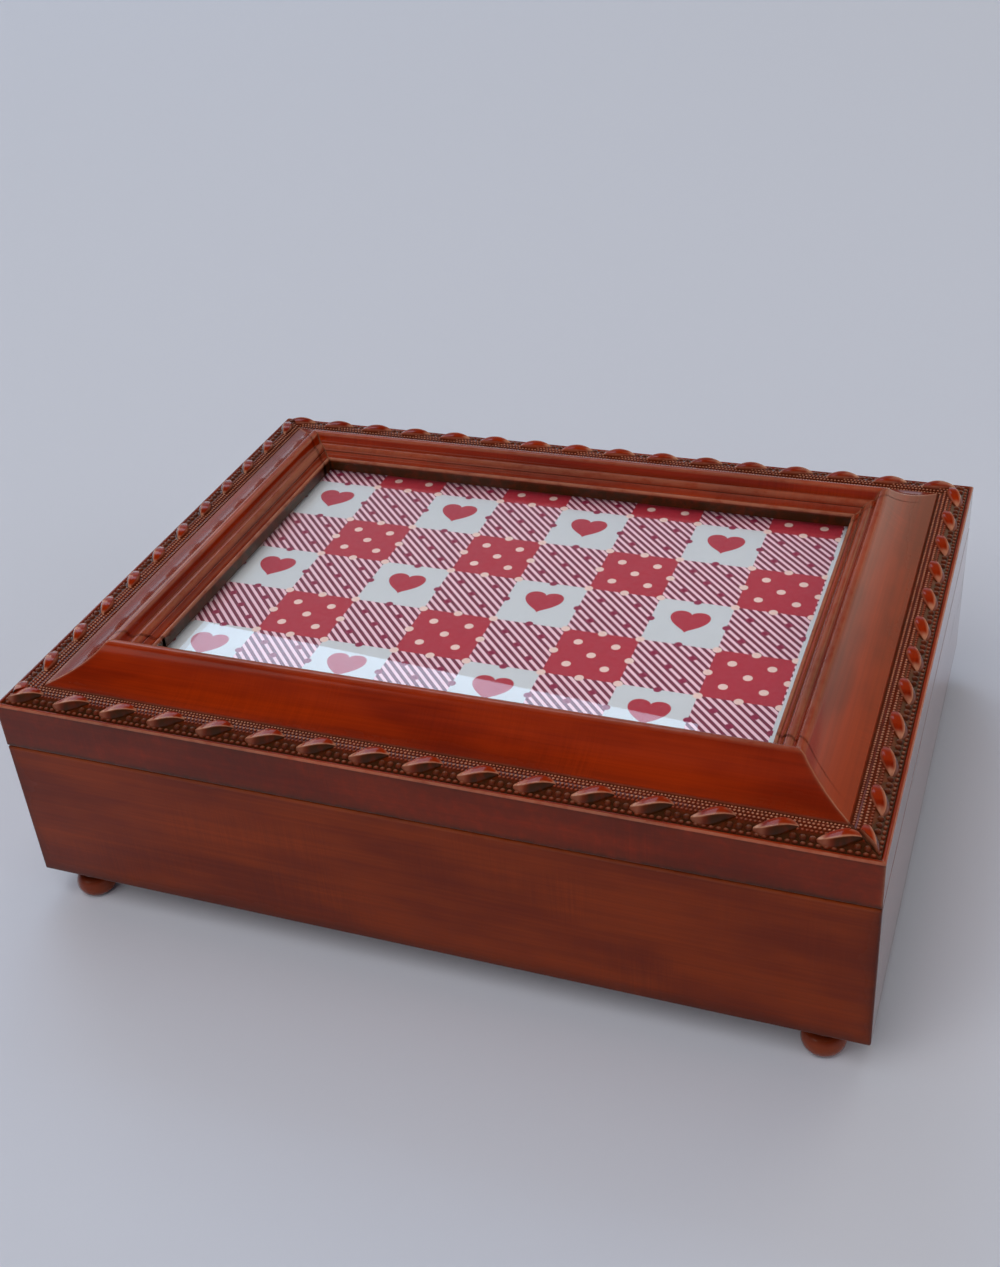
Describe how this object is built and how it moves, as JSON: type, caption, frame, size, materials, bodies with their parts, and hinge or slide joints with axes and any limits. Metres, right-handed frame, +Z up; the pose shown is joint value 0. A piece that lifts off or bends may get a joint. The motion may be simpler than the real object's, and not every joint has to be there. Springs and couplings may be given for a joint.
{
  "type": "musical jewelry box",
  "caption": "Low wooden jewellery box on turned bun feet, with a lift-off lid made as a mitred, carved picture frame that holds a glazed print.",
  "frame": {"origin": "on the surface the box stands on, under the centre of its plan", "axes": "+X along the long front side, to the right as seen from the front; +Y to the back; +Z up"},
  "size_m": [0.203, 0.1522, 0.0668],
  "materials": {
    "stained_boards": "red-brown mahogany stain under satin lacquer",
    "carved_moulding": "orange-brown stain with dark glaze in the carving, satin lacquer",
    "turned_feet": "red-brown stain under satin lacquer",
    "bottom_panel": "plain thin board, stained",
    "backing_board": "plain dark thin board",
    "clear_glass": "clear picture glass",
    "printed_card": "printed card with a red, pink and white check"
  },
  "bodies": {
    "root": {"body_front": "stained_boards", "body_back": "stained_boards", "body_left": "stained_boards", "body_right": "stained_boards", "body_bottom": "bottom_panel", "foot_front_left": "turned_feet", "foot_front_right": "turned_feet", "foot_back_left": "turned_feet", "foot_back_right": "turned_feet", "lid_rail_front": "carved_moulding", "lid_rail_back": "carved_moulding", "lid_rail_left": "carved_moulding", "lid_rail_right": "carved_moulding", "glass_pane": "clear_glass", "picture_print": "printed_card", "backing_board": "backing_board"}
  },
  "joints": []
}
